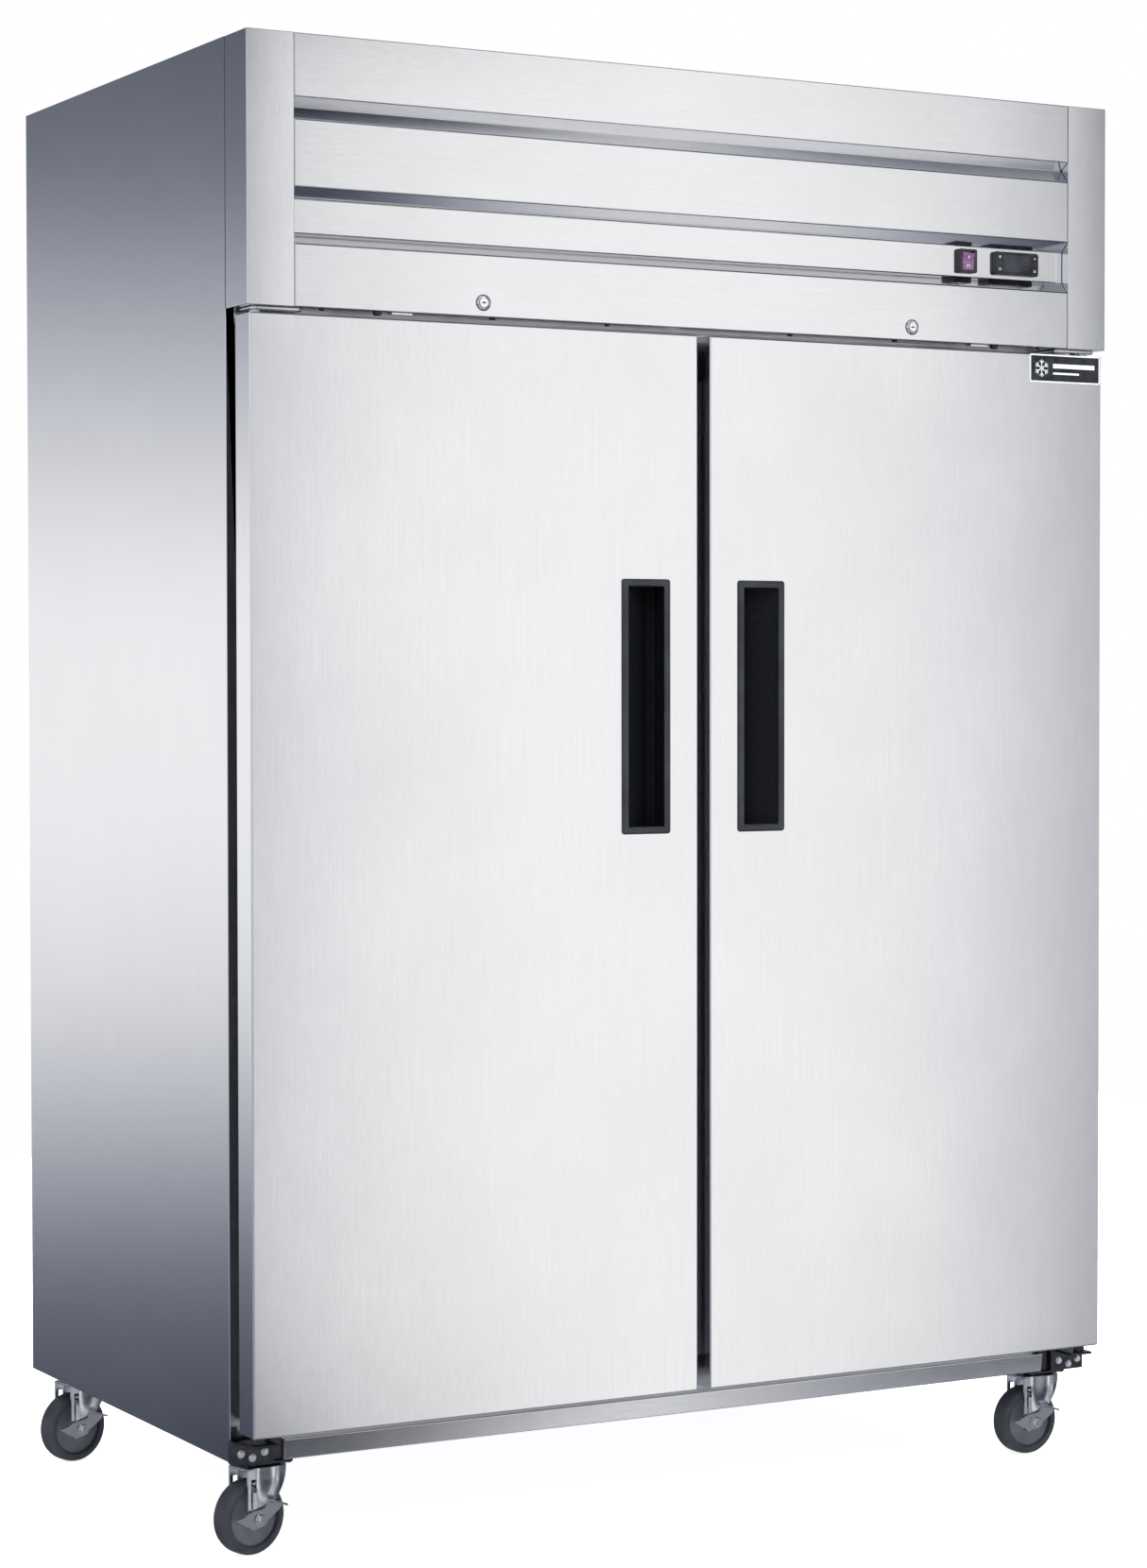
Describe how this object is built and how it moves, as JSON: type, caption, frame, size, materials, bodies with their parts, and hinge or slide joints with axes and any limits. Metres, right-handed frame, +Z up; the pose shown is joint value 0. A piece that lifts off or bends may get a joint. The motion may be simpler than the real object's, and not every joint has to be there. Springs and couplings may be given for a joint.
{
  "type": "reach in refrigerator",
  "caption": "Upright reach-in refrigerator with hinged solid doors, recessed pulls, a top-mounted cooling unit behind a grooved header, wire shelves and braked swivel casters.",
  "frame": {"origin": "on the floor under the middle of the cabinet", "axes": "+Z up, doors face -Y, +X to the right of someone facing the doors"},
  "size_m": [1.4257, 0.8332, 2.032],
  "materials": {
    "stainless_steel": "satin, fine vertical brushing",
    "galvanised_steel": "matt spangled zinc",
    "hinge_steel": "bead blasted",
    "zinc_steel": "bright zinc plated pressings",
    "chrome": "polished",
    "black_plastic": "fine moulded texture",
    "dark_trim": "smooth extruded plastic",
    "gasket_rubber": "soft magnetic gasket",
    "shelf_coating": "white epoxy coated wire",
    "switch_lens": "translucent tinted rocker",
    "black_enamel": "gloss enamel",
    "aluminium_fins": "thin pressed fins",
    "caster_tread": "grey thermoplastic rubber",
    "copper_tube": "drawn refrigerant tube",
    "lamp_cover": "frosted lamp lens"
  },
  "bodies": {
    "cabinet": {"left_side_wall": "stainless_steel", "header_post_left": "stainless_steel", "top_hinge_left": "zinc_steel", "bottom_hinge_left": "hinge_steel", "shelf_left_lower": "shelf_coating", "shelf_left_middle": "shelf_coating", "shelf_left_upper": "shelf_coating", "right_side_wall": "stainless_steel", "header_post_right": "stainless_steel", "top_hinge_right": "zinc_steel", "bottom_hinge_right": "hinge_steel", "shelf_right_lower": "shelf_coating", "shelf_right_middle": "shelf_coating", "shelf_right_upper": "shelf_coating", "rear_wall": "stainless_steel", "cabinet_floor": "stainless_steel", "cabinet_ceiling": "stainless_steel", "center_mullion": "dark_trim", "bottom_rail": "stainless_steel", "header_panel": "stainless_steel", "switch_bezel": "black_plastic", "controller": "black_plastic", "evaporator_cover": "galvanised_steel", "condensing_unit_base": "galvanised_steel", "compressor": "black_enamel", "condenser_coil": "aluminium_fins", "condenser_fan_shroud": "black_enamel", "electrical_box": "black_plastic", "cord_gland": "black_plastic", "caster_plate_front_left": "zinc_steel", "caster_plate_front_right": "zinc_steel", "caster_plate_rear_left": "zinc_steel", "caster_plate_rear_right": "zinc_steel"},
    "door_left": {"door_left": "stainless_steel", "door_gasket_left": "gasket_rubber", "door_handle_left": "black_plastic"},
    "lock_left": {"door_lock_left": "chrome"},
    "door_right": {"door_right": "stainless_steel", "door_gasket_right": "gasket_rubber", "door_handle_right": "black_plastic"},
    "lock_right": {"door_lock_right": "chrome"},
    "rocker": {"rocker_switch": "switch_lens"},
    "key_light": {"key_light": "black_plastic"},
    "key_set": {"key_set": "black_plastic"},
    "key_up": {"key_up": "black_plastic"},
    "key_down": {"key_down": "black_plastic"},
    "evaporator_fan": {"evaporator_fan": "black_plastic"},
    "condenser_fan": {"condenser_fan": "aluminium_fins"},
    "fork_front_left": {"caster_fork_front_left": "zinc_steel"},
    "wheel_front_left": {"caster_wheel_front_left": "caster_tread"},
    "brake_front_left": {"caster_brake_front_left": "zinc_steel"},
    "fork_front_right": {"caster_fork_front_right": "zinc_steel"},
    "wheel_front_right": {"caster_wheel_front_right": "caster_tread"},
    "brake_front_right": {"caster_brake_front_right": "zinc_steel"},
    "fork_rear_left": {"caster_fork_rear_left": "zinc_steel"},
    "wheel_rear_left": {"caster_wheel_rear_left": "caster_tread"},
    "brake_rear_left": {"caster_brake_rear_left": "zinc_steel"},
    "fork_rear_right": {"caster_fork_rear_right": "zinc_steel"},
    "wheel_rear_right": {"caster_wheel_rear_right": "caster_tread"},
    "brake_rear_right": {"caster_brake_rear_right": "zinc_steel"}
  },
  "joints": [
    {"name": "door_left_swing", "type": "hinge", "parent": "cabinet", "child": "door_left", "pos_m": [-0.677, -0.388, 0.9], "axis": [0, 0, -1], "range_deg": [0, 120]},
    {"name": "door_right_swing", "type": "hinge", "parent": "cabinet", "child": "door_right", "pos_m": [0.677, -0.388, 0.9], "axis": [0, 0, 1], "range_deg": [0, 120]},
    {"name": "lock_left_turn", "type": "hinge", "parent": "cabinet", "child": "lock_left", "pos_m": [-0.351, -0.4, 1.69], "axis": [0, 1, 0], "range_deg": [0, 90]},
    {"name": "lock_right_turn", "type": "hinge", "parent": "cabinet", "child": "lock_right", "pos_m": [0.351, -0.4, 1.69], "axis": [0, 1, 0], "range_deg": [0, 90]},
    {"name": "rocker_tilt", "type": "hinge", "parent": "cabinet", "child": "rocker", "pos_m": [0.456, -0.398, 1.793], "axis": [-1, 0, 0], "range_deg": [0, 14]},
    {"name": "key_light_press", "type": "slide", "parent": "cabinet", "child": "key_light", "axis": [0, 1, 0], "range_m": [0, 0.0012], "stiffness_N_per_m": 200},
    {"name": "key_set_press", "type": "slide", "parent": "cabinet", "child": "key_set", "axis": [0, 1, 0], "range_m": [0, 0.0012], "stiffness_N_per_m": 200},
    {"name": "key_up_press", "type": "slide", "parent": "cabinet", "child": "key_up", "axis": [0, 1, 0], "range_m": [0, 0.0012], "stiffness_N_per_m": 200},
    {"name": "key_down_press", "type": "slide", "parent": "cabinet", "child": "key_down", "axis": [0, 1, 0], "range_m": [0, 0.0012], "stiffness_N_per_m": 200},
    {"name": "evaporator_fan_spin", "type": "hinge", "parent": "cabinet", "child": "evaporator_fan", "pos_m": [0, 0.12, 1.53], "axis": [0, 0, 1], "continuous": true},
    {"name": "condenser_fan_spin", "type": "hinge", "parent": "cabinet", "child": "condenser_fan", "pos_m": [0.15, -0.164, 1.7986], "axis": [0, 1, 0], "continuous": true},
    {"name": "caster_swivel_front_left", "type": "hinge", "parent": "cabinet", "child": "fork_front_left", "pos_m": [-0.644, -0.331, 0.12], "axis": [0, 0, 1], "continuous": true},
    {"name": "caster_roll_front_left", "type": "hinge", "parent": "fork_front_left", "child": "wheel_front_left", "pos_m": [-0.67031, -0.33707, 0.051], "axis": [-0.225, 0.9744, 0], "continuous": true},
    {"name": "caster_brake_front_left_press", "type": "hinge", "parent": "fork_front_left", "child": "brake_front_left", "pos_m": [-0.67031, -0.33707, 0.051], "axis": [-0.225, 0.9744, 0], "range_deg": [0, 20]},
    {"name": "caster_swivel_front_right", "type": "hinge", "parent": "cabinet", "child": "fork_front_right", "pos_m": [0.644, -0.331, 0.12], "axis": [0, 0, 1], "continuous": true},
    {"name": "caster_roll_front_right", "type": "hinge", "parent": "fork_front_right", "child": "wheel_front_right", "pos_m": [0.61702, -0.33194, 0.051], "axis": [-0.0349, 0.9994, 0], "continuous": true},
    {"name": "caster_brake_front_right_press", "type": "hinge", "parent": "fork_front_right", "child": "brake_front_right", "pos_m": [0.61702, -0.33194, 0.051], "axis": [-0.0349, 0.9994, 0], "range_deg": [0, 20]},
    {"name": "caster_swivel_rear_left", "type": "hinge", "parent": "cabinet", "child": "fork_rear_left", "pos_m": [-0.644, 0.331, 0.12], "axis": [0, 0, 1], "continuous": true},
    {"name": "caster_roll_rear_left", "type": "hinge", "parent": "fork_rear_left", "child": "wheel_rear_left", "pos_m": [-0.6702, 0.32447, 0.051], "axis": [-0.2419, 0.9703, 0], "continuous": true},
    {"name": "caster_brake_rear_left_press", "type": "hinge", "parent": "fork_rear_left", "child": "brake_rear_left", "pos_m": [-0.6702, 0.32447, 0.051], "axis": [-0.2419, 0.9703, 0], "range_deg": [0, 20]},
    {"name": "caster_swivel_rear_right", "type": "hinge", "parent": "cabinet", "child": "fork_rear_right", "pos_m": [0.644, 0.331, 0.12], "axis": [0, 0, 1], "continuous": true},
    {"name": "caster_roll_rear_right", "type": "hinge", "parent": "fork_rear_right", "child": "wheel_rear_right", "pos_m": [0.61702, 0.33006, 0.051], "axis": [-0.0349, 0.9994, 0], "continuous": true},
    {"name": "caster_brake_rear_right_press", "type": "hinge", "parent": "fork_rear_right", "child": "brake_rear_right", "pos_m": [0.61702, 0.33006, 0.051], "axis": [-0.0349, 0.9994, 0], "range_deg": [0, 20]}
  ]
}
